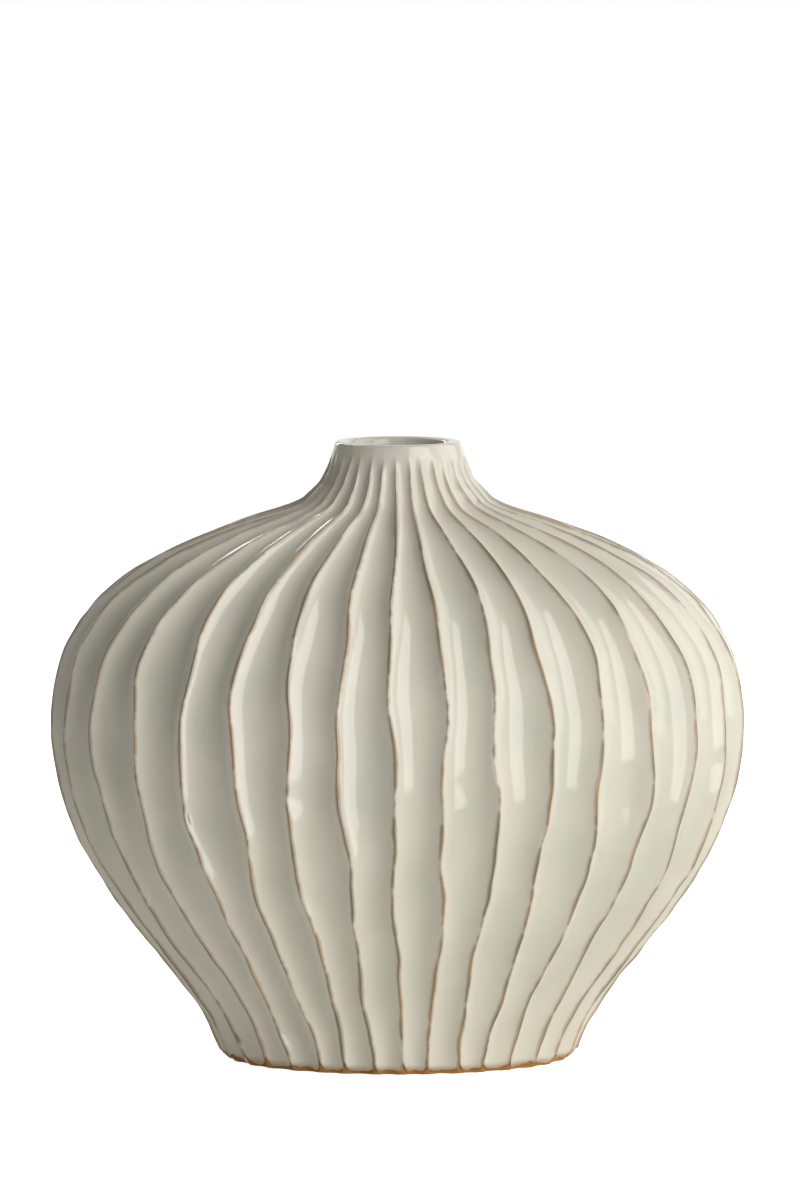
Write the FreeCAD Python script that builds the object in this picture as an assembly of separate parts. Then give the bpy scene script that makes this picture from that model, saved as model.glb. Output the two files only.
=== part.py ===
import FreeCAD, Part
import math
import os
from FreeCAD import Vector

# A fluted stoneware vase with a low oval belly and a small round mouth, at real size in millimetres.
# It stands on z = 0, its wide side lies along X and its front faces -Y, with the origin under its middle.
# Hollow flutes run from the foot to a plain collar. The glaze is thin on their ridges and pools between.

# Body, measured over the glazed ridges. A drop is measured down from the lip.
overall_height = 213.0
belly_half_width = 120.2
belly_half_depth = 79.2
belly_height = 117.0
foot_half_width = 61.0
foot_half_depth = 42.7
shoulder_half_width = 74.0
shoulder_half_depth = 46.8
shoulder_drop = 34.2
neck_radius = 24.9
neck_drop = 11.5

# Collar and mouth
collar_radius = 22.4
collar_drop = 3.2
lip_radius = 21.5
lip_outer_rounding = 1.5
lip_inner_rounding = 1.8
mouth_radius = 16.5

# Flutes, cut by hand into the outside of the wall
flute_count = 34
flute_depth_share = 0.24
flute_handle_share = 0.26
flute_fade_height = 5.5
ridge_turn_degrees = -1.5
foot_twist_degrees = 2.8
slow_sway_share = 0.06
slow_sway_turns = 2.6
quick_sway_share = 0.026
quick_sway_turns = 6.1
fine_sway_share = 0.005
fine_sway_turns = 11.3
sway_step_share = 0.618
stations_per_span = 4

# Wall, floor and foot
wall_thickness = 6.0
floor_thickness = 7.0
floor_recess = 3.0
foot_ring_width = 11.0
floor_seat_width = 4.0
bevel_height = 2.6
bevel_width = 2.2
glaze_line_height = 1.2
shoulder_slope_degrees = 25.0

# Joints between the clay pieces, each filled with slip
belly_lap_height = 6.0
neck_joint_drop = 21.0
neck_spigot_height = 4.5
neck_spigot_width = 5.5
bore_ledge_height = 4.5
bore_ledge_width = 1.2
slip_thickness = 0.8

# Glaze coats
ridge_glaze = 0.55
flute_glaze = 0.9
liner_glaze = 0.6

# Reach of the cutting bodies past what they cut, and the gap that sewing may close
overrun = 5.0
sewing_gap = 0.001

# Each row gives the shares of the change in width, of the change in depth and of the climb between two levels
foot_to_belly_shares = [(0.0, 0.0, 0.0), (0.034, 0.034, 0.055), (0.14, 0.14, 0.165), (0.4, 0.4, 0.325),
                        (0.715, 0.715, 0.53), (0.92, 0.92, 0.735), (1.005, 1.005, 0.94)]
belly_to_shoulder_shares = [(0.015, 0.015, 0.16), (0.102, 0.102, 0.44), (0.44, 0.45, 0.77)]
shoulder_to_neck_shares = [(0.0, 0.0, 0.0), (0.52, 0.5, 0.385), (0.86, 0.78, 0.57)]
neck_to_collar_shares = [(0.0, 0.0, 0.0), (1.0, 1.0, 1.0)]
shoulder_to_bore_shares = [(0.0, 0.0, 0.0), (0.45, 0.45, 0.62), (0.76, 0.76, 0.93), (1.0, 1.0, 1.0)]
lap_wall_share = 0.45

# The inside is smooth, so a few curves carry it round
smooth_count = 8

shoulder_height = overall_height - shoulder_drop
neck_height = overall_height - neck_drop
collar_height = overall_height - collar_drop
neck_joint_height = overall_height - neck_joint_drop
mouth_clay_radius = mouth_radius + liner_glaze
floor_top = floor_recess + floor_thickness
bore_bottom = neck_joint_height - neck_spigot_height - bore_ledge_height


def between(low, high, share):
    return low + (high - low) * share


def along(start, end, rows):
    # Levels between two named ones. A level holds a half width, a half depth and a height.
    return [Vector(between(start.x, end.x, wide), between(start.y, end.y, deep),
                   between(start.z, end.z, upward)) for wide, deep, upward in rows]


def flute_depth(half_width, half_depth):
    return flute_depth_share * math.pi * (half_width + half_depth) / flute_count


def profile_curve(levels):
    curve = Part.BSplineCurve()
    curve.buildFromPoles(levels, False, 3)
    return curve


def profile_stations(levels):
    # Levels at even steps along a profile, each with the direction that the profile climbs in there.
    curve = profile_curve(levels)
    count = (len(levels) - curve.Degree) * stations_per_span
    length = curve.LastParameter - curve.FirstParameter
    return [curve.getD1(curve.FirstParameter + length * station / count) for station in range(count + 1)]


def outer_profile():
    foot = Vector(foot_half_width, foot_half_depth, 0.0)
    belly = Vector(belly_half_width, belly_half_depth, belly_height)
    shoulder = Vector(shoulder_half_width, shoulder_half_depth, shoulder_height)
    neck = Vector(neck_radius, neck_radius, neck_height)
    collar = Vector(collar_radius, collar_radius, collar_height)
    levels = along(foot, belly, foot_to_belly_shares)
    levels += along(belly, shoulder, belly_to_shoulder_shares)
    levels += along(shoulder, neck, shoulder_to_neck_shares)
    levels += along(neck, collar, neck_to_collar_shares)
    return levels


def cavity_profile(coat):
    # Control levels of the inside, a wall's thickness in from the flutes and narrower by a coat of glaze.
    foot_wall = wall_thickness + flute_depth(foot_half_width, foot_half_depth) + coat
    belly_wall = wall_thickness + flute_depth(belly_half_width, belly_half_depth) + coat
    shoulder_wall = wall_thickness + flute_depth(shoulder_half_width, shoulder_half_depth) + coat
    slope = math.radians(shoulder_slope_degrees)
    inward = shoulder_wall * math.sin(slope)
    downward = shoulder_wall * math.cos(slope)
    bore = mouth_clay_radius + bore_ledge_width - coat
    foot = Vector(foot_half_width - foot_wall, foot_half_depth - foot_wall, floor_top + coat)
    belly = Vector(belly_half_width - belly_wall, belly_half_depth - belly_wall, belly_height)
    shoulder = Vector(shoulder_half_width - inward, shoulder_half_depth - inward, shoulder_height - downward)
    ledge = Vector(bore, bore, bore_bottom - coat)
    levels = along(foot, belly, foot_to_belly_shares)
    levels += along(belly, shoulder, belly_to_shoulder_shares)
    levels += along(shoulder, ledge, shoulder_to_bore_shares)
    return levels


def oval_point(level, angle):
    return Vector(level.x * math.sin(angle), -level.y * math.cos(angle), level.z)


def oval_tangent(level, angle):
    return Vector(level.x * math.cos(angle), level.y * math.sin(angle), 0.0)


def ridge_angle(number, level):
    # Where a ridge stands on the oval: evenly spaced along its edge, turned, and swaying as it climbs.
    spacing = 2.0 * math.pi / flute_count
    climb = level.z / overall_height
    slow = math.sin(2.0 * math.pi * (slow_sway_turns * climb + number * sway_step_share))
    quick = math.sin(2.0 * math.pi * (quick_sway_turns * climb + number ** 2 * sway_step_share))
    fine = math.sin(2.0 * math.pi * (fine_sway_turns * climb + number ** 3 * sway_step_share))
    sway = slow_sway_share * slow + quick_sway_share * quick + fine_sway_share * fine
    turn = math.radians(ridge_turn_degrees + foot_twist_degrees * (1.0 - climb) ** 3)
    angle = spacing * (number + sway) + turn
    oval_share = level.y / level.x
    crowding = (1.0 - oval_share) / (1.0 + oval_share) / 2.0
    return angle - crowding * math.sin(2.0 * angle)


def flute_fade(height):
    # Full depth below the collar, and nothing where the collar begins.
    share = min(1.0, max(0.0, (collar_height - height) / flute_fade_height))
    return share * share * (3.0 - 2.0 * share)


def outward_normal(level, climb, angle):
    side = Vector(climb.x * math.sin(angle), -climb.y * math.cos(angle), climb.z)
    normal = oval_tangent(level, angle).cross(side)
    return normal.normalize()


def fluted_ring(level, climb, coated):
    # One turn of hollow curves from ridge to ridge, each as its four control points.
    fade = flute_fade(level.z)
    ridge_coat = between(liner_glaze, ridge_glaze, fade) if coated else 0.0
    flute_coat = between(liner_glaze, flute_glaze, fade) if coated else 0.0
    middle_coat = (4.0 * flute_coat - ridge_coat) / 3.0
    angles = [ridge_angle(number, level) for number in range(flute_count)]
    angles.append(angles[0] + 2.0 * math.pi)
    ridges = [oval_point(level, angle) for angle in angles]
    normals = [outward_normal(level, climb, angle) for angle in angles]
    handle_share = between(1.0 / 3.0, flute_handle_share, fade)
    ring = []
    for number in range(flute_count):
        start = ridges[number]
        end = ridges[number + 1]
        chord = end - start
        middle_angle = (angles[number] + angles[number + 1]) / 2.0
        inward = outward_normal(level, climb, middle_angle) * -1.0
        bulge = (oval_point(level, middle_angle) - (start + end) * 0.5).dot(inward) * -1.0
        sink = (flute_depth_share * chord.Length * fade - bulge) * 4.0 / 3.0 + middle_coat
        ring.append([start - normals[number] * ridge_coat,
                     start + chord * handle_share + inward * sink,
                     end - chord * handle_share + inward * sink,
                     end - normals[number + 1] * ridge_coat])
    return ring


def round_ring(radius, height, collar):
    # One turn of the plain lip, divided where the ridges reach the collar below it.
    lip = Vector(radius, radius, height)
    return smooth_ring(lip, [ridge_angle(number, collar) for number in range(flute_count)])


def smooth_ring(level, angles):
    ring = []
    turns = angles + [angles[0] + 2.0 * math.pi]
    for number in range(len(angles)):
        step = turns[number + 1] - turns[number]
        reach = 4.0 / 3.0 * math.tan(step / 4.0)
        start = oval_point(level, turns[number])
        end = oval_point(level, turns[number + 1])
        ring.append([start, start + oval_tangent(level, turns[number]) * reach,
                     end - oval_tangent(level, turns[number + 1]) * reach, end])
    return ring


def ring_cap(ring):
    edges = []
    for poles in ring:
        curve = Part.BezierCurve()
        curve.setPoles(poles)
        edges.append(curve.toShape())
    return Part.Face(Part.Wire(edges))


def skin_curve(points, stops):
    # A smooth curve up the body that passes through one point of each ring.
    curve = Part.BSplineCurve()
    curve.interpolate(Points=points, Parameters=stops)
    return curve


def ring_stops(rings):
    # How far up the first ridge each ring lies.
    corners = [ring[0][0] for ring in rings]
    stops = [0.0]
    for lower, upper in zip(corners, corners[1:]):
        stops.append(stops[-1] + lower.distanceToPoint(upper))
    return stops


def skin_solid(rings):
    # A closed body whose side is one smooth patch per curve, with a flat cap at each end.
    stops = ring_stops(rings)
    faces = [ring_cap(rings[0]), ring_cap(rings[-1])]
    for number in range(len(rings[0])):
        curves = [skin_curve([ring[number][place] for ring in rings], stops) for place in range(4)]
        knots = curves[0].getKnots()
        counts = curves[0].getMultiplicities()
        poles = list(zip(*[curve.getPoles() for curve in curves]))
        patch = Part.BSplineSurface()
        patch.buildFromPolesMultsKnots(poles, counts, [4, 4], knots, [0.0, 1.0], False, False, 3, 3)
        faces.append(patch.toShape())
    shell = Part.makeShell(faces)
    shell.sewShape(sewing_gap)
    solid = Part.makeSolid(shell.Shells[0])
    if solid.Volume < 0.0:
        solid.reverse()
    return solid


def fluted_body(coated):
    # The whole outside from the foot to the lip, either glazed or bare clay.
    levels = outer_profile()
    stations = profile_stations(levels)
    stations[0] = [levels[0], Vector(0.0, 0.0, 1.0)]
    rings = [fluted_ring(level, climb, coated) for level, climb in stations]
    coat = liner_glaze if coated else 0.0
    centre_radius = lip_radius - coat - lip_outer_rounding
    centre_height = overall_height - coat - lip_outer_rounding
    for turn in [0.0, math.pi / 8.0, math.pi / 4.0, math.pi * 3.0 / 8.0, math.pi / 2.0]:
        radius = centre_radius + lip_outer_rounding * math.cos(turn)
        height = centre_height + lip_outer_rounding * math.sin(turn)
        rings.append(round_ring(radius, height, levels[-1]))
    return skin_solid(rings)


def cavity_body(coat):
    angles = [2.0 * math.pi * number / smooth_count for number in range(smooth_count)]
    stations = profile_stations(cavity_profile(coat))
    return skin_solid([smooth_ring(level, angles) for level, climb in stations])


def slab(bottom, top):
    reach = belly_half_width + belly_half_depth
    corner = Vector(-reach, -reach, bottom)
    return Part.makeBox(2.0 * reach, 2.0 * reach, top - bottom, corner)


def disc(radius, bottom, top):
    return Part.makeCylinder(radius, top - bottom, Vector(0.0, 0.0, bottom))


def oval_wire(half_width, half_depth, height):
    ends = [Vector(half_width, 0.0, height), Vector(0.0, half_depth, height)]
    if half_depth > half_width:
        ends.reverse()
    oval = Part.Ellipse(ends[0], ends[1], Vector(0.0, 0.0, height))
    return Part.Wire([oval.toShape()])


def oval_prism(half_width, half_depth, bottom, top):
    base = Part.Face(oval_wire(half_width, half_depth, bottom))
    return base.extrude(Vector(0.0, 0.0, top - bottom))


def bevel_cutter():
    # What the bevel takes off round the bottom edge. It meets the ridges at the bevel's height.
    levels = outer_profile()
    climb = levels[1].z - levels[0].z
    wide_rise = bevel_width / bevel_height + (levels[1].x - levels[0].x) / climb
    deep_rise = bevel_width / bevel_height + (levels[1].y - levels[0].y) / climb
    half_width = foot_half_width - bevel_width
    half_depth = foot_half_depth - bevel_width
    reach = floor_top
    small = oval_wire(half_width, half_depth, 0.0)
    large = oval_wire(half_width + wide_rise * reach, half_depth + deep_rise * reach, reach)
    cone = Part.makeLoft([small, large], True, True)
    return slab(0.0, reach).cut(cone)


def make_floor_slab():
    half_width = foot_half_width - foot_ring_width + floor_seat_width
    half_depth = foot_half_depth - foot_ring_width + floor_seat_width
    return oval_prism(half_width, half_depth, floor_recess, floor_top)


def make_foot_ring(clay_skin, floor, bevel):
    opening = oval_prism(foot_half_width - foot_ring_width, foot_half_depth - foot_ring_width,
                         -overrun, floor_top)
    ring = clay_skin.common(slab(0.0, floor_top))
    return ring.cut(opening).cut(floor).cut(bevel)


def belly_lap(gap, bottom, top):
    # The oval line that parts the bowl's inner tongue from the shoulder's outer one.
    wall = flute_depth(belly_half_width, belly_half_depth) + wall_thickness * (1.0 - lap_wall_share)
    return oval_prism(belly_half_width - wall + gap, belly_half_depth - wall + gap, bottom, top)


def bowl_space():
    return slab(floor_top, belly_height).fuse(belly_lap(0.0, floor_top, belly_height + belly_lap_height))


def collar_space():
    spigot = disc(mouth_clay_radius + neck_spigot_width, neck_joint_height - neck_spigot_height,
                  neck_joint_height + overrun)
    return slab(neck_joint_height, overall_height + overrun).fuse(spigot)


def shoulder_space():
    # Between the two joints, kept clear of the bowl's tongue and the collar's spigot by the slip.
    space = slab(belly_height + slip_thickness, neck_joint_height - slip_thickness)
    lap = belly_lap(slip_thickness, floor_top, belly_height + belly_lap_height + slip_thickness)
    socket = disc(mouth_clay_radius + neck_spigot_width + slip_thickness,
                  neck_joint_height - neck_spigot_height - slip_thickness, neck_joint_height + overrun)
    return space.cut(lap).cut(socket)


def slip_space(bottom, top, first, second):
    return slab(bottom, top).cut(first).cut(second)


def make_neck_collar(clay):
    collar = clay.common(collar_space())
    top = overall_height - liner_glaze
    rims = [edge for edge in collar.Edges
            if isinstance(edge.Curve, Part.Circle) and abs(edge.Curve.Radius - mouth_clay_radius) < sewing_gap
            and abs(edge.Curve.Center.z - top) < sewing_gap]
    return collar.makeFillet(lip_inner_rounding, rims)


def make_outer_glaze(glazed_skin, clay_skin, bevel):
    hole = disc(mouth_clay_radius + lip_inner_rounding, overall_height - liner_glaze - overrun,
                overall_height + overrun)
    coat = glazed_skin.cut(clay_skin)
    return coat.cut(hole).cut(slab(-overrun, glaze_line_height)).cut(bevel)


def make_bore_sleeve():
    # Glaze that lines the mouth and rolls over the inner edge of the lip.
    top = overall_height
    inner = mouth_radius
    outer = mouth_clay_radius
    roll = lip_inner_rounding + liner_glaze
    crest = outer + lip_inner_rounding
    turn = math.sqrt(0.5)
    centre = Vector(crest, 0.0, top - roll)
    points = [Vector(inner, 0.0, bore_bottom), Vector(inner, 0.0, centre.z), Vector(crest, 0.0, top),
              Vector(crest, 0.0, top - liner_glaze), Vector(outer, 0.0, centre.z),
              Vector(outer, 0.0, bore_bottom)]
    inner_middle = centre + Vector(-turn, 0.0, turn) * roll
    outer_middle = centre + Vector(-turn, 0.0, turn) * lip_inner_rounding
    edges = [Part.LineSegment(points[0], points[1]).toShape(),
             Part.Arc(points[1], inner_middle, points[2]).toShape(),
             Part.LineSegment(points[2], points[3]).toShape(),
             Part.Arc(points[3], outer_middle, points[4]).toShape(),
             Part.LineSegment(points[4], points[5]).toShape(),
             Part.LineSegment(points[5], points[0]).toShape()]
    section = Part.Face(Part.Wire(edges))
    return section.revolve(Vector(0.0, 0.0, 0.0), Vector(0.0, 0.0, 1.0), 360.0)


def make_liner_glaze(cavity):
    cup = cavity.cut(cavity_body(liner_glaze))
    cup = cup.cut(disc(mouth_radius, bore_bottom - overrun, bore_bottom + overrun))
    return cup.fuse(make_bore_sleeve()).removeSplitter()


def make_parts():
    glazed_skin = fluted_body(False)
    clay_skin = fluted_body(True)
    cavity = cavity_body(0.0)
    bore = disc(mouth_clay_radius, bore_bottom - overrun, overall_height + overrun)
    clay = clay_skin.cut(cavity).cut(bore)
    bevel = bevel_cutter()
    floor = make_floor_slab()
    bowl = bowl_space()
    shoulder = shoulder_space()
    collar = collar_space()
    belly_top = belly_height + belly_lap_height + slip_thickness
    neck_bottom = neck_joint_height - neck_spigot_height - slip_thickness
    return {
        "foot_ring": make_foot_ring(clay_skin, floor, bevel),
        "floor_slab": floor,
        "bowl_wall": clay.common(bowl),
        "belly_slip": clay.common(slip_space(belly_height, belly_top, bowl, shoulder)),
        "shoulder_wall": clay.common(shoulder),
        "neck_slip": clay.common(slip_space(neck_bottom, neck_joint_height, collar, shoulder)),
        "neck_collar": make_neck_collar(clay),
        "liner_glaze": make_liner_glaze(cavity),
        "outer_glaze": make_outer_glaze(glazed_skin, clay_skin, bevel),
    }


os.makedirs("parts", exist_ok=True)
for name, shape in make_parts().items():
    solids = shape.Solids
    print(name, "solids", len(solids), "valid", shape.isValid(), "volume", round(shape.Volume))
    piece = solids[0] if len(solids) == 1 else Part.makeCompound(solids)
    piece.exportStep(os.path.join("parts", name + ".step"))
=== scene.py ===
import bpy
import math
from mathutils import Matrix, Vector


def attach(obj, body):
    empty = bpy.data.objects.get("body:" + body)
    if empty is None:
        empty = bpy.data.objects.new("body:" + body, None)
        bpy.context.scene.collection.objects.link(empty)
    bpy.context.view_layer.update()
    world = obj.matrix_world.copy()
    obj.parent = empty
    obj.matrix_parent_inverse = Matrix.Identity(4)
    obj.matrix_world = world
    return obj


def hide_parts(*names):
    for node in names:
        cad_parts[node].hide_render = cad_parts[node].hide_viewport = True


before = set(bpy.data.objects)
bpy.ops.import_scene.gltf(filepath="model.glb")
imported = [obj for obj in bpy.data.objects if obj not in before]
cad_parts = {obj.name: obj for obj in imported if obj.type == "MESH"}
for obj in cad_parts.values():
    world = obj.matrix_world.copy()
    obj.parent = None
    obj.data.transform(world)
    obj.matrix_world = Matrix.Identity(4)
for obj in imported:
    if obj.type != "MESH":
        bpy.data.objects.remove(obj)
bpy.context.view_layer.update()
mm = 0.001

# the vase's main sizes, the same as in the part's source; the control points run from the foot up, over the
# lip and down into the mouth, each with its half width, half depth and height in mm
body = {
    "height": 213 * mm, "collarHeight": 209.8 * mm,
    "outerPoles": [(61, 42.7, 0), (63.013, 43.941, 6.435), (69.288, 47.81, 19.305), (84.68, 57.3, 38.025),
                   (103.328, 68.797, 62.01), (115.464, 76.28, 85.995), (120.496, 79.382, 109.98),
                   (119.507, 78.714, 126.888), (115.488, 75.895, 144.192), (99.872, 64.62, 164.586),
                   (74, 46.8, 178.8), (48.468, 35.85, 187.54), (31.774, 29.718, 191.739),
                   (24.9, 24.9, 201.5), (22.4, 22.4, 209.8), (21.7, 21.7, 211.7), (21.5, 21.5, 213),
                   (20.0, 20.0, 213), (18.3, 18.3, 213), (16.85, 16.85, 212.7), (16.45, 16.45, 211),
                   (16.45, 16.45, 208.8), (16.45, 16.45, 206.5)],
}

sums, vectors, remap, mix = "ShaderNodeMath", "ShaderNodeVectorMath", "ShaderNodeMapRange", "ShaderNodeMix"
noise, split, join = "ShaderNodeTexNoise", "ShaderNodeSeparateXYZ", "ShaderNodeCombineXYZ"
group, keep = "GeometryNodeGroup", "GeometryNodeStoreNamedAttribute"
turn = 2 * math.pi


def linear(colour):
    # an sRGB hex colour as linear RGBA
    parts = [int(colour[i:i + 2], 16) / 255 for i in (1, 3, 5)]
    return tuple(c / 12.92 if c <= 0.04045 else ((c + 0.055) / 1.055) ** 2.4 for c in parts) + (1.0,)


def addNode(tree, kind, inputs=(), **settings):
    # adds one node with its settings, then links or sets its inputs by place or by name
    node = tree.nodes.new(kind)
    for name, value in settings.items():
        setattr(node, name, value)
    for key, value in (inputs.items() if isinstance(inputs, dict) else enumerate(inputs)):
        if isinstance(value, bpy.types.NodeSocket):
            tree.links.new(value, node.inputs[key])
        else:
            node.inputs[key].default_value = value
    return node.outputs


# the cutting of the flutes; each of these is an input of the geometry nodes
flutes = {
    "Flutes": 34, "Columns Per Flute": 14, "Rows Up": 180, "Rows On Lip": 24, "Rows Back": 24,
    "Lip Share": 0.052, "Coat": 0.45 * mm,
    "Depth Share": 0.24, "Handle Share": 0.26, "Fade Height": 7.5 * mm, "Collar Height": body["collarHeight"],
    "Height": body["height"], "Ridge Turn": math.radians(-1.5), "Foot Twist": math.radians(2.8),
    "Slow Sway": 0.06, "Slow Turns": 2.6, "Quick Sway": 0.026, "Quick Turns": 6.1,
    "Fine Sway": 0.005, "Fine Turns": 11.3, "Sway Step": 0.618,
    "Chatter": 0.4 * mm, "Low Chatter": 1.3 * mm, "Chatter Length": 10 * mm, "Arris Rounding": 0.3 * mm,
    "Crest Ripple": 0.7 * mm, "Crest Ripple At Belly": 0.2 * mm, "Ripple Length": 13 * mm,
    "Land Depth": 0.6 * mm, "Land Length": 30 * mm, "Waviness": 0.6 * mm, "Waviness Size": 19 * mm,
    "Glaze Line": 1.1 * mm, "Cusp Height": 2.3 * mm,
}
# how the mesh is laid, which a change of the vase leaves as it is; a lane is how far apart neighbouring
# ridges read a pattern of noise, two numbers say from where to where, and four also what comes out at each
skin = {
    "profileSteps": 48, "edgeCrowding": 0.78, "uprightBelow": 4.5 * mm, "mergeDistance": 0.002 * mm,
    "leastDepth": 0.0001 * mm, "mostStretch": 1.6, "twistPower": 3.0,
    "chatterLane": 7.31, "chatterDetail": 0.6, "chatterClimb": (0.3, 0.6),
    "lineLane": 0.21, "lineDrift": (0.3, 0.7, 0.55, 1.45), "lineSlope": 1.12, "cuspSharpness": 5.0,
    "landLane": 3.77, "landNoise": (0.5, 0.72), "pullStretch": (1.0, 1.0, 0.6), "pullRoughness": 0.4,
    "rippleLane": 5.13, "rippleNoise": (0.3, 0.7, 0.0, 1.0), "rippleHalfWidth": (109 * mm, 118 * mm),
    "crestSharpness": 2.0,
}


def newTree(name, inputs, outputs):
    # a geometry node group, each input's socket chosen by its starting value
    kinds = {"geometry": "Geometry", "vector": "Vector", "material": "Material"}
    tree = bpy.data.node_groups.new(name, "GeometryNodeTree")
    for socket, value in inputs.items():
        kind = kinds.get(value) or ("Int" if type(value) is int else "Float")
        made = tree.interface.new_socket(socket, in_out="INPUT", socket_type="NodeSocket" + kind)
        if kind in ("Int", "Float"):
            made.default_value = value
    for socket, kind in outputs.items():
        tree.interface.new_socket(socket, in_out="OUTPUT", socket_type="NodeSocket" + kind)
    return tree, tree.nodes.new("NodeGroupInput").outputs


def ovalFrameTree():
    # the point on an oval at an angle, and the outward direction there
    tree, given = newTree("ovalFrame", {"Level": "vector", "Climb": "vector", "Angle": 0.0},
                          {"Point": "Vector", "Normal": "Vector"})
    sine = addNode(tree, sums, [given["Angle"]], operation="SINE")[0]
    cosine = addNode(tree, sums, [given["Angle"]], operation="COSINE")[0]
    back = addNode(tree, sums, [cosine, -1.0], operation="MULTIPLY")[0]
    level = addNode(tree, split, [given["Level"]])
    climb = addNode(tree, split, [given["Climb"]])
    x = addNode(tree, sums, [level[0], sine], operation="MULTIPLY")[0]
    y = addNode(tree, sums, [level[1], back], operation="MULTIPLY")[0]
    point = addNode(tree, join, [x, y, level[2]])[0]
    x = addNode(tree, sums, [level[0], cosine], operation="MULTIPLY")[0]
    y = addNode(tree, sums, [level[1], sine], operation="MULTIPLY")[0]
    tangent = addNode(tree, join, [x, y, 0.0])[0]
    x = addNode(tree, sums, [climb[0], sine], operation="MULTIPLY")[0]
    y = addNode(tree, sums, [climb[1], back], operation="MULTIPLY")[0]
    side = addNode(tree, join, [x, y, climb[2]])[0]
    across = addNode(tree, vectors, [tangent, side], operation="CROSS_PRODUCT")[0]
    normal = addNode(tree, vectors, [across], operation="NORMALIZE")[0]
    addNode(tree, "NodeGroupOutput", {"Point": point, "Normal": normal})
    return tree


def ridgeAngleTree():
    # where a ridge stands on the oval at one level: evenly spaced, turned, swaying and a little ragged
    names = ["Flutes", "Height", "Ridge Turn", "Foot Twist", "Slow Sway", "Slow Turns", "Quick Sway",
             "Quick Turns", "Fine Sway", "Fine Turns", "Sway Step", "Chatter", "Low Chatter", "Chatter Length"]
    sizes = {name: float(flutes[name]) for name in names}
    tree, given = newTree("ridgeAngle", {"Number": 0.0, "Level": "vector", **sizes}, {"Angle": "Float"})
    level = addNode(tree, split, [given["Level"]])
    climb = addNode(tree, sums, [level[2], given["Height"]], operation="DIVIDE")[0]
    around = addNode(tree, sums, [given["Number"], given["Flutes"]], operation="FLOORED_MODULO")[0]
    swayed = given["Number"]
    for order, name in ((1, "Slow"), (2, "Quick"), (3, "Fine")):
        power = addNode(tree, sums, [around, float(order)], operation="POWER")[0]
        phase = addNode(tree, sums, [power, given["Sway Step"]], operation="MULTIPLY")[0]
        phase = addNode(tree, sums, [climb, given[name + " Turns"], phase], operation="MULTIPLY_ADD")[0]
        phase = addNode(tree, sums, [phase], operation="FRACT")[0]
        phase = addNode(tree, sums, [phase, turn], operation="MULTIPLY")[0]
        wave = addNode(tree, sums, [phase], operation="SINE")[0]
        swayed = addNode(tree, sums, [wave, given[name + " Sway"], swayed], operation="MULTIPLY_ADD")[0]

    # the tool's chatter, stronger low down; it is a length, so it is divided by the spacing of the ridges
    lane = addNode(tree, sums, [around, skin["chatterLane"]], operation="MULTIPLY")[0]
    along = addNode(tree, sums, [level[2], given["Chatter Length"]], operation="DIVIDE")[0]
    place = addNode(tree, join, [lane, along, 0.0])[0]
    ragged = addNode(tree, noise, {"Vector": place, "Scale": 1.0, "Detail": skin["chatterDetail"]},
                     noise_dimensions="2D")[0]
    ragged = addNode(tree, sums, [ragged, 0.5], operation="SUBTRACT")[0]
    reach = addNode(tree, remap, [climb, *skin["chatterClimb"], given["Low Chatter"], given["Chatter"]])[0]
    ragged = addNode(tree, sums, [ragged, reach], operation="MULTIPLY")[0]
    girth = addNode(tree, sums, [level[0], level[1]], operation="ADD")[0]
    halfSpacing = addNode(tree, sums, [math.pi, given["Flutes"]], operation="DIVIDE")[0]
    gap = addNode(tree, sums, [girth, halfSpacing], operation="MULTIPLY")[0]
    ragged = addNode(tree, sums, [ragged, gap], operation="DIVIDE")[0]
    swayed = addNode(tree, sums, [swayed, ragged], operation="ADD")[0]

    # the twist grows towards the foot
    low = addNode(tree, sums, [1.0, climb], operation="SUBTRACT")[0]
    low = addNode(tree, sums, [low, skin["twistPower"]], operation="POWER")[0]
    twist = addNode(tree, sums, [low, given["Foot Twist"], given["Ridge Turn"]], operation="MULTIPLY_ADD")[0]
    spacing = addNode(tree, sums, [halfSpacing, 2.0], operation="MULTIPLY")[0]
    angle = addNode(tree, sums, [swayed, spacing, twist], operation="MULTIPLY_ADD")[0]

    # the oval crowds the ridges at its ends
    wide = addNode(tree, sums, [level[0], level[1]], operation="SUBTRACT")[0]
    crowding = addNode(tree, sums, [wide, girth], operation="DIVIDE")[0]
    crowding = addNode(tree, sums, [crowding, -0.5], operation="MULTIPLY")[0]
    double = addNode(tree, sums, [angle, 2.0], operation="MULTIPLY")[0]
    double = addNode(tree, sums, [double], operation="SINE")[0]
    angle = addNode(tree, sums, [crowding, double, angle], operation="MULTIPLY_ADD")[0]
    addNode(tree, "NodeGroupOutput", {"Angle": angle})
    return tree


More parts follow.
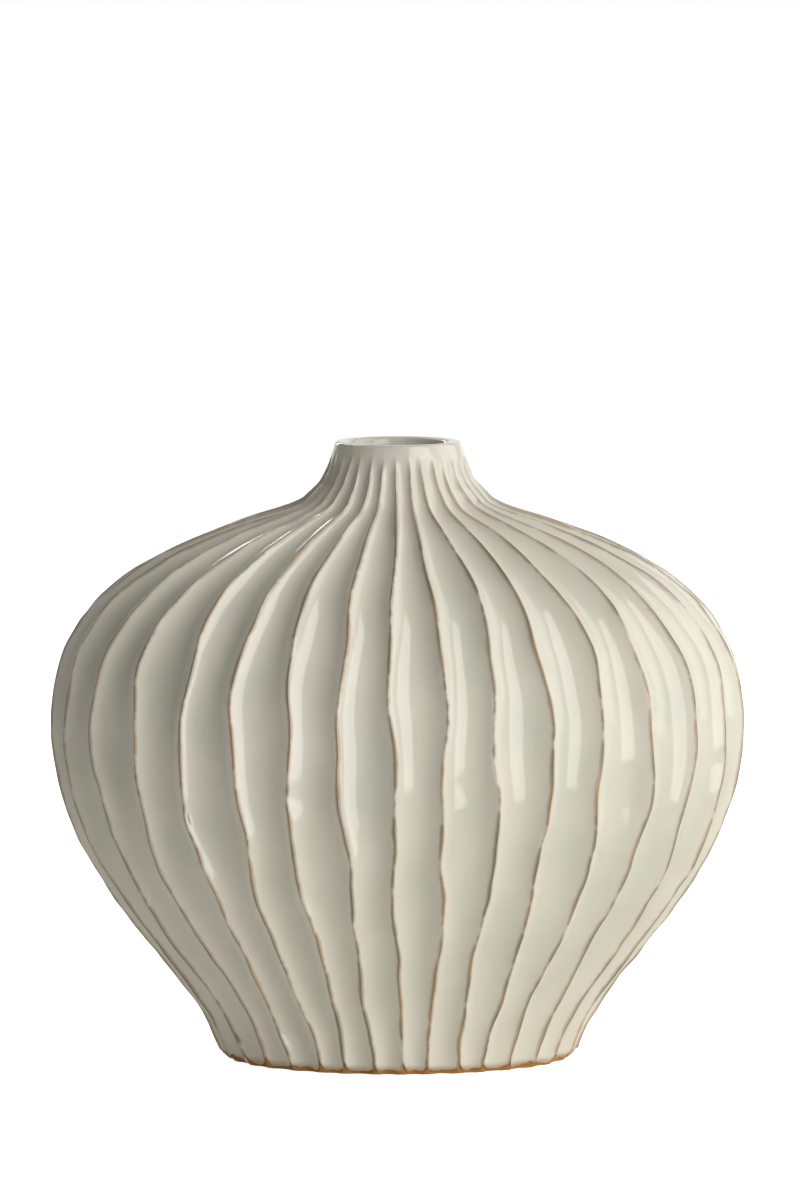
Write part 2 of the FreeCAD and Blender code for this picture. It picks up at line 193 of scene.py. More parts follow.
def flutedSkinTree():
    # a closed coat of glaze: rows of hollow flutes up the outside, over the lip, and back down under the glaze
    ovalFrame, ridgeAngle = ovalFrameTree(), ridgeAngleTree()
    tree, given = newTree("flutedSkin", {"Profile": "geometry", **flutes, "Glaze": "material"},
                          {"Skin": "Geometry"})
    columns = addNode(tree, sums, [given["Flutes"], given["Columns Per Flute"]], operation="MULTIPLY")[0]
    rows = addNode(tree, sums, [given["Rows Up"], given["Rows Back"]], operation="ADD")[0]
    spans = addNode(tree, sums, [rows, 2.0], operation="ADD")[0]
    grid = addNode(tree, "GeometryNodeMeshGrid", {
        "Size X": 1.0, "Size Y": 1.0,
        "Vertices X": addNode(tree, sums, [columns, 1.0], operation="ADD")[0],
        "Vertices Y": addNode(tree, sums, [spans, 1.0], operation="ADD")[0]})[0]
    place = addNode(tree, split, [addNode(tree, "GeometryNodeInputPosition")[0]])

    # which flute, and how far across it, with the columns crowded towards the ridges
    across = addNode(tree, sums, [place[0], 0.5], operation="ADD")[0]
    column = addNode(tree, sums, [across, columns], operation="MULTIPLY")[0]
    column = addNode(tree, sums, [column], operation="ROUND")[0]
    middle = addNode(tree, sums, [column, 0.5], operation="ADD")[0]
    middle = addNode(tree, sums, [middle, given["Columns Per Flute"]], operation="DIVIDE")[0]
    number = addNode(tree, sums, [middle], operation="FLOOR")[0]
    share = addNode(tree, sums, [column, given["Columns Per Flute"]], operation="DIVIDE")[0]
    share = addNode(tree, sums, [share, number], operation="SUBTRACT")[0]
    wave = addNode(tree, sums, [share, turn], operation="MULTIPLY")[0]
    wave = addNode(tree, sums, [wave], operation="SINE")[0]
    share = addNode(tree, sums, [wave, -skin["edgeCrowding"] / turn, share], operation="MULTIPLY_ADD")[0]

    # which row: up the body, finer over the lip, and back down
    up = addNode(tree, sums, [place[1], 0.5], operation="ADD")[0]
    row = addNode(tree, sums, [up, spans], operation="MULTIPLY")[0]
    row = addNode(tree, sums, [row], operation="ROUND")[0]
    bodyRows = addNode(tree, sums, [given["Rows Up"], given["Rows On Lip"]], operation="SUBTRACT")[0]
    bodyShare = addNode(tree, sums, [1.0, given["Lip Share"]], operation="SUBTRACT")[0]
    low = addNode(tree, remap, [row, 0.0, bodyRows, 0.0, bodyShare])[0]
    high = addNode(tree, remap, [row, bodyRows, given["Rows Up"], 0.0, given["Lip Share"]])[0]
    outside = addNode(tree, sums, [low, high], operation="ADD")[0]
    lastUp = addNode(tree, sums, [given["Rows Up"], 0.5], operation="ADD")[0]
    turned = addNode(tree, sums, [row, lastUp], operation="GREATER_THAN")[0]
    lastBack = addNode(tree, sums, [spans, 0.5], operation="SUBTRACT")[0]
    closing = addNode(tree, sums, [row, lastBack], operation="GREATER_THAN")[0]
    firstBack = addNode(tree, sums, [given["Rows Up"], 1.0], operation="ADD")[0]
    endBack = addNode(tree, sums, [spans, 1.0], operation="SUBTRACT")[0]
    inside = addNode(tree, remap, [row, firstBack, endBack, 1.0, 0.0])[0]
    height = addNode(tree, mix, {0: turned, 2: outside, 3: inside})[0]
    under = addNode(tree, sums, [turned, closing], operation="SUBTRACT")[0]

    # the glaze line climbs a little at each ridge
    edge = addNode(tree, sums, [share, turn], operation="MULTIPLY")[0]
    edge = addNode(tree, sums, [edge], operation="COSINE")[0]
    edge = addNode(tree, remap, [edge, -1.0, 1.0, 0.0, 1.0])[0]
    edge = addNode(tree, sums, [edge, skin["cuspSharpness"]], operation="POWER")[0]
    lane = addNode(tree, sums, [column, skin["lineLane"]], operation="MULTIPLY")[0]
    drift = addNode(tree, noise, {"W": lane, "Scale": 1.0, "Detail": 1.0}, noise_dimensions="1D")[0]
    drift = addNode(tree, remap, [drift, *skin["lineDrift"]])[0]
    edge = addNode(tree, sums, [edge, given["Cusp Height"], given["Glaze Line"]], operation="MULTIPLY_ADD")[0]
    edge = addNode(tree, sums, [edge, drift], operation="MULTIPLY")[0]
    length = addNode(tree, "GeometryNodeCurveLength", {"Curve": given["Profile"]})[0]
    edge = addNode(tree, sums, [edge, length], operation="DIVIDE")[0]
    edge = addNode(tree, sums, [edge, skin["lineSlope"]], operation="MULTIPLY")[0]
    height = addNode(tree, mix, {0: height, 2: edge, 3: 1.0})[0]
    sample = addNode(tree, "GeometryNodeSampleCurve", {"Curves": given["Profile"], "Factor": height},
                     mode="FACTOR")
    level, climb = sample["Position"], sample["Tangent"]
    levelPlace = addNode(tree, split, [level])
    levelHeight = levelPlace[2]
    upright = addNode(tree, remap, [levelHeight, 0.0, skin["uprightBelow"], 0.0, 1.0],
                      interpolation_type="SMOOTHSTEP")[0]
    climb = addNode(tree, mix, {0: upright, 4: (0, 0, 1), 5: climb}, data_type="VECTOR")[1]

    # the ridges on both sides of the flute
    shared = {socket.name: given[socket.name] for socket in ridgeAngle.interface.items_tree
              if socket.in_out == "INPUT" and socket.name not in ("Number", "Level")}
    after = addNode(tree, sums, [number, 1.0], operation="ADD")[0]
    angleA = addNode(tree, group, {"Number": number, "Level": level, **shared}, node_tree=ridgeAngle)[0]
    angleB = addNode(tree, group, {"Number": after, "Level": level, **shared}, node_tree=ridgeAngle)[0]
    angleM = addNode(tree, sums, [angleA, angleB], operation="ADD")[0]
    angleM = addNode(tree, sums, [angleM, 0.5], operation="MULTIPLY")[0]
    onOval = {"Level": level, "Climb": climb}
    ridgeA = addNode(tree, group, {**onOval, "Angle": angleA}, node_tree=ovalFrame)
    ridgeB = addNode(tree, group, {**onOval, "Angle": angleB}, node_tree=ovalFrame)
    mean = addNode(tree, group, {**onOval, "Angle": angleM}, node_tree=ovalFrame)
    chord = addNode(tree, vectors, [ridgeB[0], ridgeA[0]], operation="SUBTRACT")[0]
    width = addNode(tree, vectors, [chord], operation="LENGTH")[1]
    centre = addNode(tree, vectors, [ridgeA[0], ridgeB[0]], operation="ADD")[0]
    centre = addNode(tree, vectors, [centre, (0.5, 0.5, 0.5)], operation="MULTIPLY")[0]
    rise = addNode(tree, vectors, [mean[0], centre], operation="SUBTRACT")[0]
    bulge = addNode(tree, vectors, [rise, mean[1]], operation="DOT_PRODUCT")[1]
    below = addNode(tree, sums, [given["Collar Height"], levelHeight], operation="SUBTRACT")[0]
    fade = addNode(tree, remap, [below, 0.0, given["Fade Height"], 0.0, 1.0],
                   interpolation_type="SMOOTHSTEP")[0]
    deepest = addNode(tree, sums, [width, given["Depth Share"]], operation="MULTIPLY")[0]
    deepest = addNode(tree, sums, [deepest, fade], operation="MULTIPLY")[0]
    handle = addNode(tree, mix, {0: fade, 2: 1 / 3, 3: given["Handle Share"]})[0]

    # the hollow between them is one cubic curve
    rest = addNode(tree, sums, [1.0, share], operation="SUBTRACT")[0]
    hump = addNode(tree, sums, [share, rest], operation="MULTIPLY")[0]
    hump = addNode(tree, sums, [hump, 3.0], operation="MULTIPLY")[0]
    square = addNode(tree, sums, [share, share], operation="MULTIPLY")[0]
    steps = addNode(tree, sums, [share, -2.0, 3.0], operation="MULTIPLY_ADD")[0]
    steps = addNode(tree, sums, [square, steps], operation="MULTIPLY")[0]
    slant = addNode(tree, sums, [share, -2.0, 1.0], operation="MULTIPLY_ADD")[0]
    slant = addNode(tree, sums, [slant, hump], operation="MULTIPLY")[0]
    slant = addNode(tree, sums, [slant, handle, steps], operation="MULTIPLY_ADD")[0]
    dish = addNode(tree, sums, [hump, 4 / 3], operation="MULTIPLY")[0]
    depth = addNode(tree, sums, [deepest, dish], operation="MULTIPLY")[0]
    sink = addNode(tree, sums, [bulge, deepest], operation="SUBTRACT")[0]
    sink = addNode(tree, sums, [sink, dish], operation="MULTIPLY")[0]
    point = addNode(tree, vectors, {0: chord, 3: slant}, operation="SCALE")[0]
    point = addNode(tree, vectors, [ridgeA[0], point], operation="ADD")[0]
    sunk = addNode(tree, vectors, {0: mean[1], 3: sink}, operation="SCALE")[0]
    point = addNode(tree, vectors, [point, sunk], operation="ADD")[0]

    # worn arrises, and lands where two cuts stand apart
    nearest = addNode(tree, sums, [share], operation="ROUND")[0]
    nearest = addNode(tree, sums, [number, nearest], operation="ADD")[0]
    nearest = addNode(tree, sums, [nearest, given["Flutes"]], operation="FLOORED_MODULO")[0]
    lane = addNode(tree, sums, [nearest, skin["landLane"]], operation="MULTIPLY")[0]
    along = addNode(tree, sums, [levelHeight, given["Land Length"]], operation="DIVIDE")[0]
    place = addNode(tree, join, [lane, along, 0.0])[0]
    land = addNode(tree, noise, {"Vector": place, "Scale": 1.0, "Detail": 1.0}, noise_dimensions="2D")[0]
    land = addNode(tree, remap, [land, *skin["landNoise"], 0.0, given["Land Depth"]])[0]
    land = addNode(tree, sums, [land, fade], operation="MULTIPLY")[0]
    room = addNode(tree, sums, [deepest, land], operation="SUBTRACT")[0]
    room = addNode(tree, sums, [room, skin["leastDepth"]], operation="MAXIMUM")[0]
    stretch = addNode(tree, sums, [deepest, skin["leastDepth"]], operation="MAXIMUM")[0]
    stretch = addNode(tree, sums, [stretch, room], operation="DIVIDE")[0]
    stretch = addNode(tree, sums, [stretch, skin["mostStretch"]], operation="MINIMUM")[0]
    cut = addNode(tree, sums, [depth, land], operation="SUBTRACT")[0]
    cut = addNode(tree, sums, [cut, 0.0], operation="MAXIMUM")[0]
    cut = addNode(tree, sums, [cut, stretch], operation="MULTIPLY")[0]
    cut = addNode(tree, sums, [cut, cut], operation="MULTIPLY")[0]
    worn = addNode(tree, sums, [given["Arris Rounding"], fade], operation="MULTIPLY")[0]
    worn = addNode(tree, sums, [worn, worn], operation="MULTIPLY")[0]
    cut = addNode(tree, sums, [cut, worn], operation="ADD")[0]
    cut = addNode(tree, sums, [cut], operation="SQRT")[0]
    drop = addNode(tree, sums, [cut, depth], operation="SUBTRACT")[0]

    # crests that swell where the glaze gathers, least at the widest line
    lane = addNode(tree, sums, [nearest, skin["rippleLane"]], operation="MULTIPLY")[0]
    along = addNode(tree, sums, [levelHeight, given["Ripple Length"]], operation="DIVIDE")[0]
    place = addNode(tree, join, [lane, along, 0.0])[0]
    ripple = addNode(tree, noise, {"Vector": place, "Scale": 1.0, "Detail": 1.0}, noise_dimensions="2D")[0]
    ripple = addNode(tree, remap, [ripple, *skin["rippleNoise"]])[0]
    reach = addNode(tree, remap, [levelPlace[0], *skin["rippleHalfWidth"],
                                  given["Crest Ripple"], given["Crest Ripple At Belly"]])[0]
    reach = addNode(tree, sums, [reach, fade], operation="MULTIPLY")[0]
    ripple = addNode(tree, sums, [ripple, reach], operation="MULTIPLY")[0]
    crest = addNode(tree, sums, [1.0, dish], operation="SUBTRACT")[0]
    crest = addNode(tree, sums, [crest, skin["crestSharpness"]], operation="POWER")[0]
    ripple = addNode(tree, sums, [ripple, crest], operation="MULTIPLY")[0]
    drop = addNode(tree, sums, [drop, ripple], operation="SUBTRACT")[0]

    # the uneven pull of the tool, strongest in the hollow
    fine = addNode(tree, sums, [1.0, given["Waviness Size"]], operation="DIVIDE")[0]
    place = addNode(tree, vectors, [point, skin["pullStretch"]], operation="MULTIPLY")[0]
    place = addNode(tree, vectors, {0: place, 3: fine}, operation="SCALE")[0]
    pull = addNode(tree, noise, {"Vector": place, "Scale": 1.0, "Detail": 1.0,
                                 "Roughness": skin["pullRoughness"]})[0]
    pull = addNode(tree, sums, [pull, 0.5], operation="SUBTRACT")[0]
    pull = addNode(tree, sums, [pull, given["Waviness"]], operation="MULTIPLY")[0]
    hollow = addNode(tree, sums, [dish, fade], operation="MULTIPLY")[0]
    pull = addNode(tree, sums, [pull, hollow], operation="MULTIPLY")[0]
    drop = addNode(tree, sums, [drop, pull], operation="ADD")[0]

    # all of this moves the point along the oval's outward direction, the inner rows by the coat as well
    drop = addNode(tree, sums, [under, given["Coat"], drop], operation="MULTIPLY_ADD")[0]
    lift = addNode(tree, sums, [drop, -1.0], operation="MULTIPLY")[0]
    angle = addNode(tree, mix, {0: steps, 2: angleA, 3: angleB})[0]
    outward = addNode(tree, group, {**onOval, "Angle": angle}, node_tree=ovalFrame)[1]
    move = addNode(tree, vectors, {0: outward, 3: lift}, operation="SCALE")[0]
    point = addNode(tree, vectors, [point, move], operation="ADD")[0]

    # what the glaze needs to know: how far the nearest ridge is, how deep the flute, and where the flutes fade
    toRidge = addNode(tree, sums, [1.0, slant], operation="SUBTRACT")[0]
    toRidge = addNode(tree, sums, [slant, toRidge], operation="MINIMUM")[0]
    toRidge = addNode(tree, sums, [toRidge, width], operation="MULTIPLY")[0]
    shaped = grid
    for name, value in {"ridgeDistance": toRidge, "fluteDepth": depth, "fluteFade": fade}.items():
        shaped = addNode(tree, keep, {"Geometry": shaped, "Name": name, "Value": value}, data_type="FLOAT")[0]
    shaped = addNode(tree, "GeometryNodeSetPosition", {"Geometry": shaped, "Position": point})[0]
    shaped = addNode(tree, "GeometryNodeMergeByDistance",
                     {"Geometry": shaped, "Distance": skin["mergeDistance"]})[0]
    shaped = addNode(tree, "GeometryNodeSetShadeSmooth", {"Geometry": shaped})[0]
    shaped = addNode(tree, "GeometryNodeRealizeInstances", {"Geometry": shaped})[0]
    shaped = addNode(tree, "GeometryNodeSetMaterial", {"Geometry": shaped, "Material": given["Glaze"]})[0]
    addNode(tree, "NodeGroupOutput", {"Skin": shaped})
    return tree


def profileCurve(name, poles):
    # the vase's half section as one smooth curve that follows its control points
    data = bpy.data.curves.new(name, "CURVE")
    data.dimensions = "3D"
    data.resolution_u = skin["profileSteps"]
    spline = data.splines.new("NURBS")
    spline.points.add(len(poles) - 1)
    for place, pole in zip(spline.points, poles):
        place.co = (pole[0] * mm, pole[1] * mm, pole[2] * mm, 1.0)
    spline.order_u = 4
    spline.use_endpoint_u = True
    made = bpy.data.objects.new(name, data)
    bpy.context.scene.collection.objects.link(made)
    return made


def frozenMesh(source, name):
    # the modifier's result as a plain mesh object
    bpy.context.view_layer.update()
    depsgraph = bpy.context.evaluated_depsgraph_get()
    mesh = bpy.data.meshes.new_from_object(source.evaluated_get(depsgraph), depsgraph=depsgraph)
    mesh.name = name
    made = bpy.data.objects.new(name, mesh)
    bpy.context.scene.collection.objects.link(made)
    source.modifiers.clear()
    bpy.data.objects.remove(source)
    return made


def newMaterial(name):
    material = bpy.data.materials.new(name)
    material.use_nodes = True
    material.node_tree.nodes.clear()
    return material, material.node_tree


# four numbers say from where to where, in metres or in the noise's own value, and what comes out at each
glazeLook = {
    "cream": "#DAD4C3", "pale": "#E1DCCC", "driftSize": 60 * mm,
    "neck": "#CAC6B8", "neckHeight": (184 * mm, 202 * mm, 0.0, 0.6),
    "pooled": "#CFCEBD", "poolDepth": (1.2 * mm, 4.0 * mm, 0.0, 1.0),
    "cloudSize": 25 * mm, "poolClouds": (0.35, 0.65, 0.25, 0.9),
    "milky": "#DCD4C4", "milkyDistance": (0.6 * mm, 3.4 * mm, 1.0, 0.0), "milkyShare": 0.5,
    "patchSize": 9 * mm, "patchRoughness": 0.6, "milkyPatches": (0.42, 0.62, 0.25, 1.0),
    "greyRust": "#6B5941", "warmRust": "#9C7342", "toneSize": 22 * mm, "rustTone": (0.45, 0.62, 0.0, 1.0),
    "breakSize": 14 * mm, "breakRoughness": 0.65, "rustReach": (0.3, 0.62, 1.45 * mm, 0.75 * mm),
    "rustStrength": (0.53, 0.69, 0.92, 0.14), "rustHeight": (180 * mm, 202 * mm, 1.0, 0.4),
    "footTan": "#C49A66", "footHeight": (2.6 * mm, 5.2 * mm, 0.6, 0.0), "footRagged": 2.4 * mm,
    "rippleSize": 12 * mm, "peelSize": 1.5 * mm, "peelShare": 0.03, "skinDepth": 0.12 * mm,
    "rustShine": (0.0, 1.0, 0.09, 0.17), "glassIndex": 1.52,
}


def offWhiteGlaze():
    # Tin-white stoneware glaze, dipped and fired glossy: it runs thin over each ridge, where the iron in the
    # clay burns through rust brown, stays milky beside it, and pools faintly green-grey in the hollows.
    look = glazeLook
    material, tree = newMaterial("offWhiteStonewareGlaze")
    distance = addNode(tree, "ShaderNodeAttribute", attribute_name="ridgeDistance")["Fac"]
    depth = addNode(tree, "ShaderNodeAttribute", attribute_name="fluteDepth")["Fac"]
    fade = addNode(tree, "ShaderNodeAttribute", attribute_name="fluteFade")["Fac"]
    where = addNode(tree, "ShaderNodeTexCoord")["Object"]
    height = addNode(tree, split, [where])[2]

    # the cream drifts over 60 mm, and is greyer and darker on the neck
    drift = addNode(tree, noise, {"Vector": where, "Scale": 1 / look["driftSize"], "Detail": 2.0})[0]
    base = addNode(tree, mix, {0: drift, 6: linear(look["cream"]), 7: linear(look["pale"])},
                   data_type="RGBA")[2]
    neckShare = addNode(tree, remap, [height, *look["neckHeight"]])[0]
    base = addNode(tree, mix, {0: neckShare, 6: base, 7: linear(look["neck"])}, data_type="RGBA")[2]

    # pooled glaze where the hollows are deeper than 1.2 mm, in clouds of about 25 mm
    clouds = addNode(tree, noise, {"Vector": where, "Scale": 1 / look["cloudSize"], "Detail": 2.0})[0]
    clouds = addNode(tree, remap, [clouds, *look["poolClouds"]])[0]
    pool = addNode(tree, remap, [depth, *look["poolDepth"]], interpolation_type="SMOOTHSTEP")[0]
    pool = addNode(tree, sums, [pool, clouds], operation="MULTIPLY")[0]
    base = addNode(tree, mix, {0: pool, 6: base, 7: linear(look["pooled"])}, data_type="RGBA")[2]

    # milky patches beside the ridges, about 9 mm long
    patches = addNode(tree, noise, {"Vector": where, "Scale": 1 / look["patchSize"], "Detail": 2.0,
                                    "Roughness": look["patchRoughness"]})[0]
    patches = addNode(tree, remap, [patches, *look["milkyPatches"]])[0]
    nearRidge = addNode(tree, remap, [distance, *look["milkyDistance"]], interpolation_type="SMOOTHSTEP")[0]
    milky = addNode(tree, sums, [nearRidge, patches], operation="MULTIPLY")[0]
    milky = addNode(tree, sums, [milky, look["milkyShare"]], operation="MULTIPLY")[0]
    base = addNode(tree, mix, {0: milky, 6: base, 7: linear(look["milky"])}, data_type="RGBA")[2]

    # the rust line reaches about 1 mm to each side of a ridge, softly, and breaks every 10 to 20 mm
    breaks = addNode(tree, noise, {"Vector": where, "Scale": 1 / look["breakSize"], "Detail": 3.0,
                                   "Roughness": look["breakRoughness"]})[0]
    reach = addNode(tree, remap, [breaks, *look["rustReach"]])[0]
    strength = addNode(tree, remap, [breaks, *look["rustStrength"]])[0]
    rust = addNode(tree, remap, [distance, 0.0, reach, 1.0, 0.0])[0]
    rust = addNode(tree, sums, [rust, fade], operation="MULTIPLY")[0]
    rust = addNode(tree, sums, [rust, strength], operation="MULTIPLY")[0]

    # less of it towards the neck, where the dip left more glaze
    thin = addNode(tree, remap, [height, *look["rustHeight"]])[0]
    rust = addNode(tree, sums, [rust, thin], operation="MULTIPLY")[0]
    tone = addNode(tree, noise, {"Vector": where, "Scale": 1 / look["toneSize"], "Detail": 1.0})[0]
    tone = addNode(tree, remap, [tone, *look["rustTone"]])[0]
    brown = addNode(tree, mix, {0: tone, 6: linear(look["greyRust"]), 7: linear(look["warmRust"])},
                    data_type="RGBA")[2]
    base = addNode(tree, mix, {0: rust, 6: base, 7: brown}, data_type="RGBA")[2]

    # a tan edge where the glaze ends at the foot
    ragged = addNode(tree, sums, [breaks, look["footRagged"], height], operation="MULTIPLY_ADD")[0]
    edge = addNode(tree, remap, [ragged, *look["footHeight"]], interpolation_type="SMOOTHSTEP")[0]
    base = addNode(tree, mix, {0: edge, 6: base, 7: linear(look["footTan"])}, data_type="RGBA")[2]

    # fired skin: long ripples over 12 mm and a faint orange peel over 1.5 mm, duller on the rust
    ripple = addNode(tree, noise, {"Vector": where, "Scale": 1 / look["rippleSize"], "Detail": 1.0})[0]
    peel = addNode(tree, noise, {"Vector": where, "Scale": 1 / look["peelSize"], "Detail": 1.0})[0]
    fired = addNode(tree, sums, [peel, look["peelShare"], ripple], operation="MULTIPLY_ADD")[0]
    bump = addNode(tree, "ShaderNodeBump", {"Strength": 1.0, "Distance": look["skinDepth"], "Height": fired})[0]
    shine = addNode(tree, remap, [rust, *look["rustShine"]])[0]
    surface = addNode(tree, "ShaderNodeBsdfPrincipled", {"Base Color": base, "Roughness": shine,
                                                         "IOR": look["glassIndex"], "Normal": bump})[0]
    addNode(tree, "ShaderNodeOutputMaterial", {"Surface": surface})
    return material


linerLook = {"grey": "#D8D5C8", "cream": "#E2DED1", "driftSize": 35 * mm, "skinDepth": 0.15 * mm, "gloss": 0.1}


def linerGlaze():
    # The same glaze poured inside: even, glossy and a little greyer where it is thick.
    look = linerLook
    material, tree = newMaterial("pouredLinerGlaze")
    where = addNode(tree, "ShaderNodeTexCoord")["Object"]
    drift = addNode(tree, noise, {"Vector": where, "Scale": 1 / look["driftSize"], "Detail": 2.0})[0]
    base = addNode(tree, mix, {0: drift, 6: linear(look["grey"]), 7: linear(look["cream"])},
                   data_type="RGBA")[2]
    bump = addNode(tree, "ShaderNodeBump", {"Strength": 1.0, "Distance": look["skinDepth"], "Height": drift})[0]
    surface = addNode(tree, "ShaderNodeBsdfPrincipled", {"Base Color": base, "Roughness": look["gloss"],
                                                         "IOR": glazeLook["glassIndex"], "Normal": bump})[0]
    addNode(tree, "ShaderNodeOutputMaterial", {"Surface": surface})
    return material


clayLook = {
    "toasted": ("#9F7036", "#BC8C4D"), "covered": ("#8E6238", "#A87A4C"), "cloudSize": 18 * mm,
    "speck": "#5E3F22", "specks": (0.66, 0.74, 0.0, 0.6), "sandSize": 0.6 * mm, "sandRoughness": 0.7,
    "sandDepth": 0.15 * mm, "sandStrength": 0.6, "dullness": 0.82, "glassIndex": 1.5,
}


def bareStoneware(name, dark, light):
    # Unglazed iron-bearing stoneware, sponged and fired: matt and sandy, toasted in soft clouds, with dark
    # iron specks.
    look = clayLook
    material, tree = newMaterial(name)
    where = addNode(tree, "ShaderNodeTexCoord")["Object"]
    cloud = addNode(tree, noise, {"Vector": where, "Scale": 1 / look["cloudSize"], "Detail": 3.0})[0]
    base = addNode(tree, mix, {0: cloud, 6: linear(dark), 7: linear(light)}, data_type="RGBA")[2]
    sand = addNode(tree, noise, {"Vector": where, "Scale": 1 / look["sandSize"], "Detail": 2.0,
                                 "Roughness": look["sandRoughness"]})[0]
    specks = addNode(tree, remap, [sand, *look["specks"]])[0]
    base = addNode(tree, mix, {0: specks, 6: base, 7: linear(look["speck"])}, data_type="RGBA")[2]
    bump = addNode(tree, "ShaderNodeBump", {"Strength": look["sandStrength"], "Distance": look["sandDepth"],
                                            "Height": sand})[0]
    surface = addNode(tree, "ShaderNodeBsdfPrincipled", {"Base Color": base, "Roughness": look["dullness"],
                                                         "IOR": look["glassIndex"], "Normal": bump})[0]
    addNode(tree, "ShaderNodeOutputMaterial", {"Surface": surface})
    return material


glaze = offWhiteGlaze()
liner = linerGlaze()
toasted = bareStoneware("bareFiredStoneware", *clayLook["toasted"])
covered = bareStoneware("stonewareUnderGlaze", *clayLook["covered"])
print("finishes made")

profile = profileCurve("outerProfile", body["outerPoles"])
skinTree = flutedSkinTree()
cutting = profile.modifiers.new("flutedSkin", "NODES")
cutting.node_group = skinTree
for socket in skinTree.interface.items_tree:
    if socket.in_out == "INPUT" and socket.name in flutes:
        cutting[socket.identifier] = flutes[socket.name]
    elif socket.in_out == "INPUT" and socket.name == "Glaze":
        cutting[socket.identifier] = glaze
outerGlaze = frozenMesh(profile, "outerGlazeCoat")
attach(outerGlaze, "root")
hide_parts("outer_glaze")
outerGlaze.data.calc_loop_triangles()
print("outer glaze", len(outerGlaze.data.loop_triangles), "triangles")

finishes = {
    "foot_ring": toasted, "floor_slab": toasted, "bowl_wall": covered, "shoulder_wall": covered,
    "neck_collar": covered, "belly_slip": covered, "neck_slip": covered, "liner_glaze": liner,
}
for node, finish in finishes.items():
    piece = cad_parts[node]
    piece.data.materials.clear()
    piece.data.materials.append(finish)
print("frame pieces finished")

# the photograph's view, in metres and degrees, with its distances in its own pixels
studioCameraView = {
    "centreHeight": 106.7 * mm, "distance": 2.41, "elevation": 7.15, "focalPixels": 7000.0,
    "sensorWidth": 36.0, "imageHeight": 1199, "aimRight": 2.0, "aimUp": 149.0,
}
# soft panels that stand round the vase, each azimuth measured from the camera to the right
lamps = {
    "keySoftbox": {"azimuth": 43.0, "distance": 1.3, "height": 0.87, "aim": 0.87,
                   "size": (0.9, 2.46), "power": 22.5},
    "sidePanel": {"azimuth": 102.0, "distance": 1.6, "height": 0.9, "aim": 0.1,
                  "size": (1.4, 2.0), "power": 12.0},
    "rimStrip": {"azimuth": -150.0, "distance": 1.4, "height": 1.0, "aim": 0.15,
                 "size": (0.1, 1.4), "power": 6.5},
}
stageLook = {"halfSize": 4.0, "paint": "#F8F7F5", "glow": 0.86, "bounce": 0.17}
airLook = {"level": 0.155, "backdrop": (0.74, 0.88, 0.0, 1.0)}


def makeCamera():
    view = studioCameraView
    elevation = math.radians(view["elevation"])
    away = Vector((0, -math.cos(elevation), math.sin(elevation)))
    upward = Vector((0, math.sin(elevation), math.cos(elevation)))
    centre = Vector((0, 0, view["centreHeight"]))
    pixel = view["distance"] / view["focalPixels"]
    aim = centre + upward * view["aimUp"] * pixel + Vector((1, 0, 0)) * view["aimRight"] * pixel
    data = bpy.data.cameras.new("studioCamera")
    data.sensor_width = view["sensorWidth"]
    data.lens = view["focalPixels"] * view["sensorWidth"] / view["imageHeight"]
    camera = bpy.data.objects.new("studioCamera", data)
    camera.location = centre + away * view["distance"]
    camera.rotation_mode = "QUATERNION"
    camera.rotation_quaternion = (aim - camera.location).to_track_quat("-Z", "Y")
    bpy.context.scene.collection.objects.link(camera)
    bpy.context.scene.camera = camera


def makeLamp(name, azimuth, distance, height, aim, size, power):
    data = bpy.data.lights.new(name, "AREA")
    data.shape = "RECTANGLE"
    data.size, data.size_y = size
    data.energy = power
    turned = math.radians(azimuth)
    lamp = bpy.data.objects.new(name, data)
    lamp.location = (math.sin(turned) * distance, -math.cos(turned) * distance, height)
    lamp.rotation_mode = "QUATERNION"
    lamp.rotation_quaternion = (Vector((0, 0, aim)) - lamp.location).to_track_quat("-Z", "Y")
    bpy.context.scene.collection.objects.link(lamp)


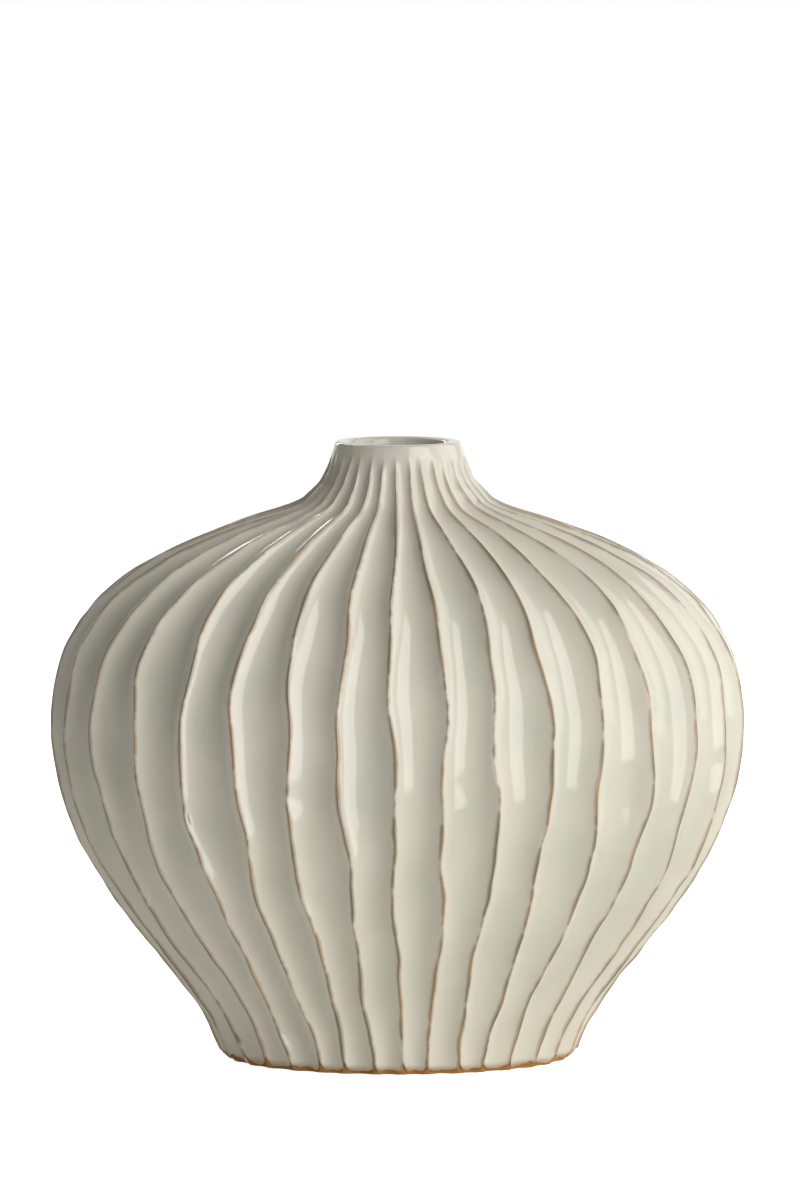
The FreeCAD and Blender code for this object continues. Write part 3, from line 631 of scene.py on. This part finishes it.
def makeStage():
    # a pale floor that looks white to the camera and still takes the vase's shadow
    size = stageLook["halfSize"]
    mesh = bpy.data.meshes.new("studioFloor")
    corners = [(-size, -size, 0), (size, -size, 0), (size, size, 0), (-size, size, 0)]
    mesh.from_pydata(corners, [], [(0, 1, 2, 3)])
    floor = bpy.data.objects.new("studioFloor", mesh)
    bpy.context.scene.collection.objects.link(floor)
    material, tree = newMaterial("paintedStudioFloor")
    seen = addNode(tree, "ShaderNodeLightPath")
    paint = addNode(tree, "ShaderNodeBsdfDiffuse", {"Color": linear(stageLook["paint"])})[0]
    direct = addNode(tree, sums, [seen["Is Camera Ray"], seen["Is Glossy Ray"]], operation="MAXIMUM")[0]
    strength = addNode(tree, remap, [direct, 0.0, 1.0, stageLook["bounce"], stageLook["glow"]])[0]
    glow = addNode(tree, "ShaderNodeEmission", {"Color": (1, 1, 1, 1), "Strength": strength})[0]
    surface = addNode(tree, "ShaderNodeAddShader", [paint, glow])[0]
    addNode(tree, "ShaderNodeOutputMaterial", {"Surface": surface})
    mesh.materials.append(material)
    floor.visible_glossy = False


def makeWorld():
    # dim air that the camera sees as white
    world = bpy.data.worlds.new("studioAir")
    bpy.context.scene.world = world
    world.use_nodes = True
    tree = world.node_tree
    tree.nodes.clear()
    seen = addNode(tree, "ShaderNodeLightPath")
    direct = addNode(tree, sums, [seen["Is Camera Ray"], seen["Is Transmission Ray"]], operation="MAXIMUM")[0]
    # the lit backdrop straight behind shows in the gloss too
    facing = addNode(tree, split, [addNode(tree, "ShaderNodeTexCoord")["Generated"]])[1]
    behind = addNode(tree, remap, [facing, *airLook["backdrop"]])[0]
    behind = addNode(tree, sums, [behind, seen["Is Glossy Ray"]], operation="MULTIPLY")[0]
    direct = addNode(tree, sums, [direct, behind], operation="MAXIMUM")[0]
    strength = addNode(tree, remap, [direct, 0.0, 1.0, airLook["level"], 1.0])[0]
    glow = addNode(tree, "ShaderNodeBackground", {"Color": (1, 1, 1, 1), "Strength": strength})[0]
    addNode(tree, "ShaderNodeOutputWorld", {"Surface": glow})


makeCamera()
for name, lamp in lamps.items():
    makeLamp(name, **lamp)
makeStage()
makeWorld()
bpy.context.scene.view_settings.view_transform = "Standard"
print("studio made")
